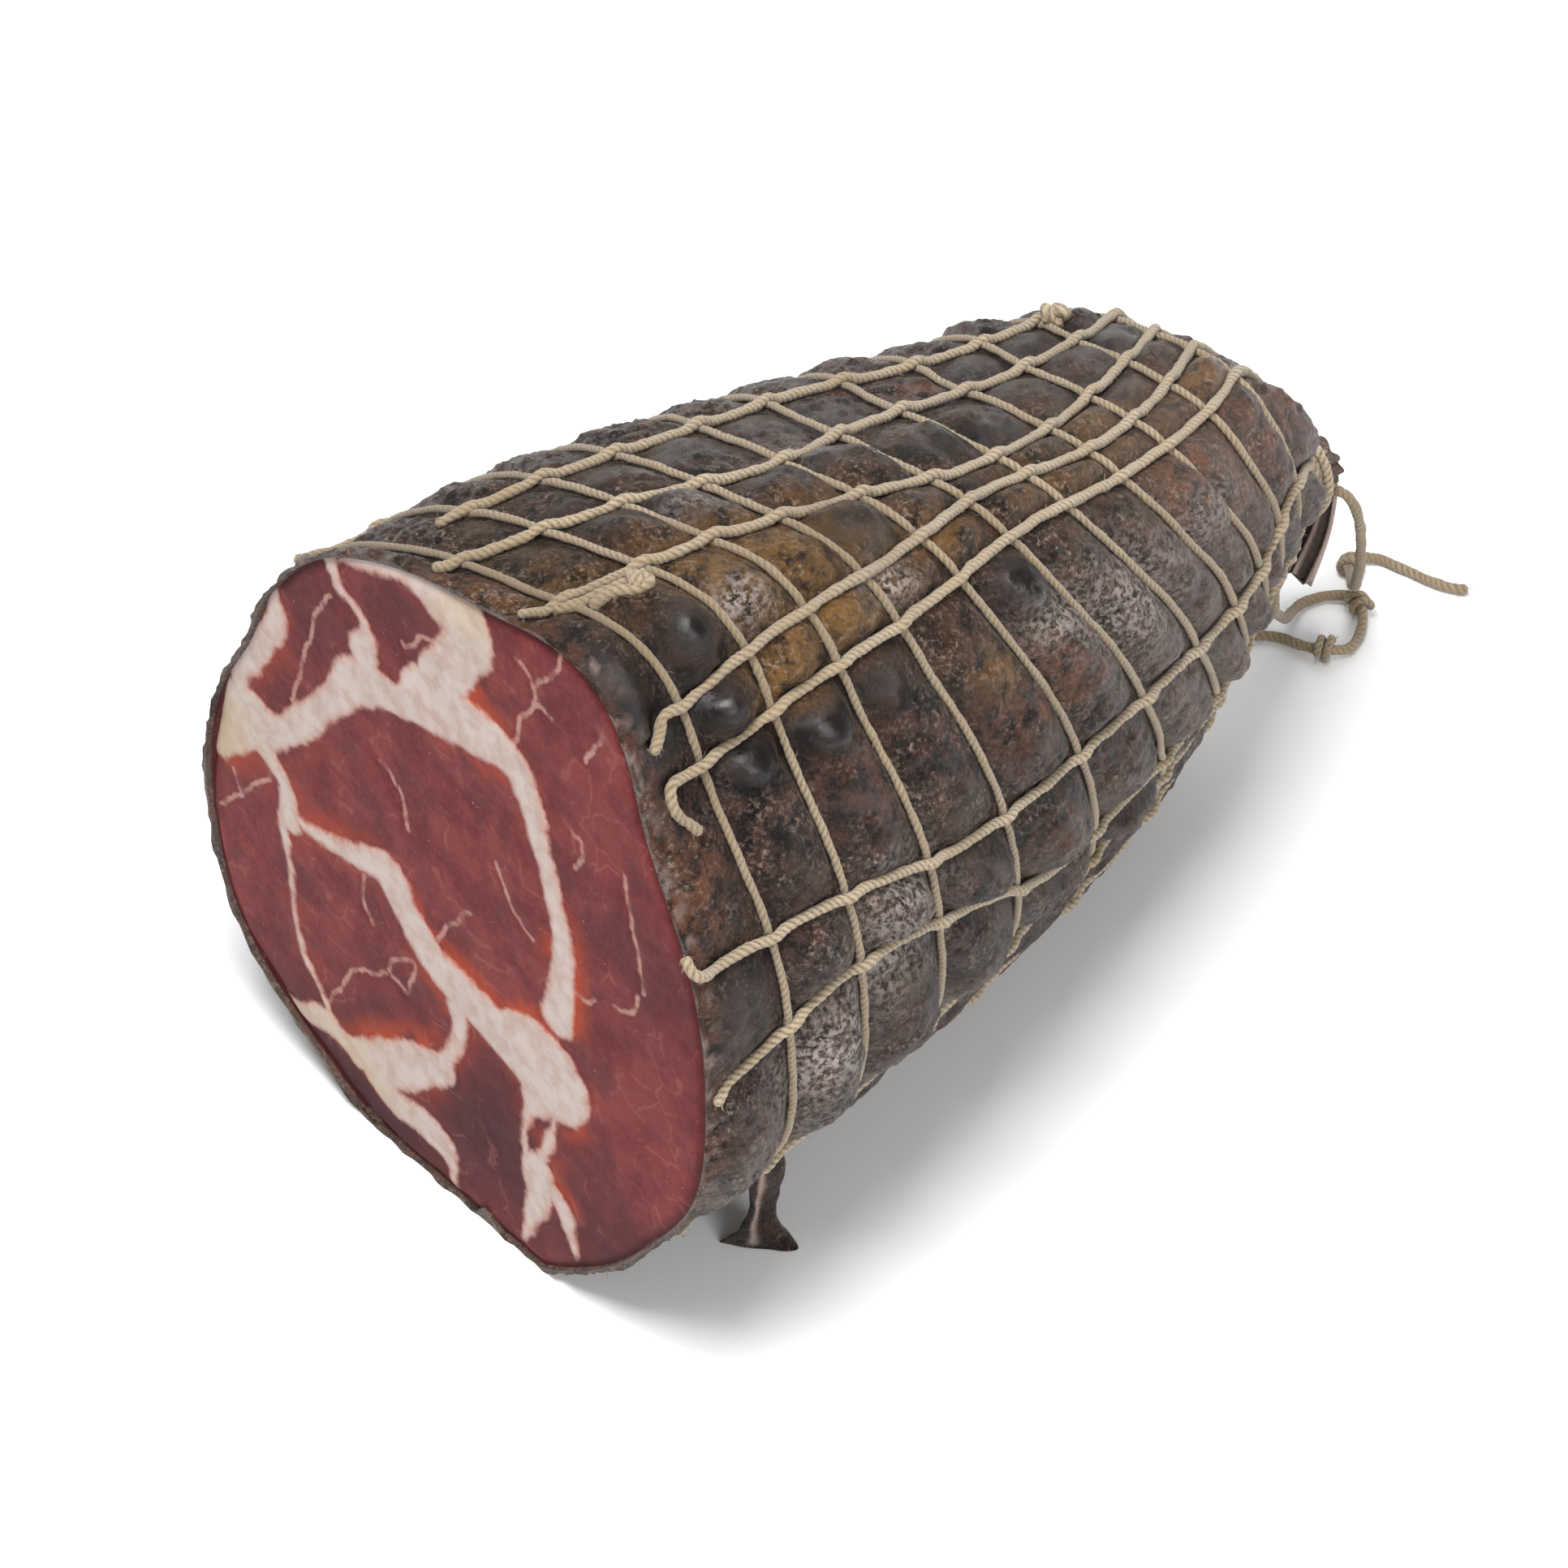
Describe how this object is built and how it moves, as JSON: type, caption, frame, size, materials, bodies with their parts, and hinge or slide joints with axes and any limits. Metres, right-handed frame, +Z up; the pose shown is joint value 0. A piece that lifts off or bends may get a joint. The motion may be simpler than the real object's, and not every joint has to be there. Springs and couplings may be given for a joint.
{
  "type": "cured sausage",
  "caption": "Half of a whole-muscle cured pork neck in a dark natural casing netted with butcher's twine, lying on its side with a flat cut face across one end.",
  "frame": {"origin": "Middle of the underside of the box round the piece and its netting, without the free cords.", "axes": "+Z is up as the piece lies. +Y runs along the piece from the cut face to the tied end. +X is to the right seen from the cut end, looking along +Y."},
  "size_m": [0.1076, 0.1911, 0.117],
  "materials": {
    "cured_meat": "satin",
    "casing": "gloss",
    "twine": "matte"
  },
  "bodies": {
    "root": {"cured_pork": "cured_meat", "casing": "casing", "hoop_01": "twine", "hoop_02": "twine", "hoop_03": "twine", "hoop_04": "twine", "hoop_05": "twine", "hoop_06": "twine", "hoop_07": "twine", "hoop_08": "twine", "hoop_09": "twine", "hoop_10": "twine", "hoop_11": "twine", "lengthwise_string_01": "twine", "lengthwise_string_02": "twine", "lengthwise_string_03": "twine", "lengthwise_string_04": "twine", "lengthwise_string_05": "twine", "lengthwise_string_06": "twine", "lengthwise_string_07": "twine", "lengthwise_string_08": "twine", "lengthwise_string_09": "twine", "lengthwise_string_10": "twine", "lengthwise_string_11": "twine", "lengthwise_string_12": "twine", "lengthwise_string_13": "twine", "lengthwise_string_14": "twine", "lengthwise_string_15": "twine", "lengthwise_string_16": "twine", "end_binding": "twine", "top_knot": "twine", "front_knot": "twine", "hang_cord": "twine", "loop_cord": "twine", "hang_cord_knot": "twine", "loop_cord_knot_outer": "twine", "loop_cord_knot_inner": "twine"}
  },
  "joints": []
}
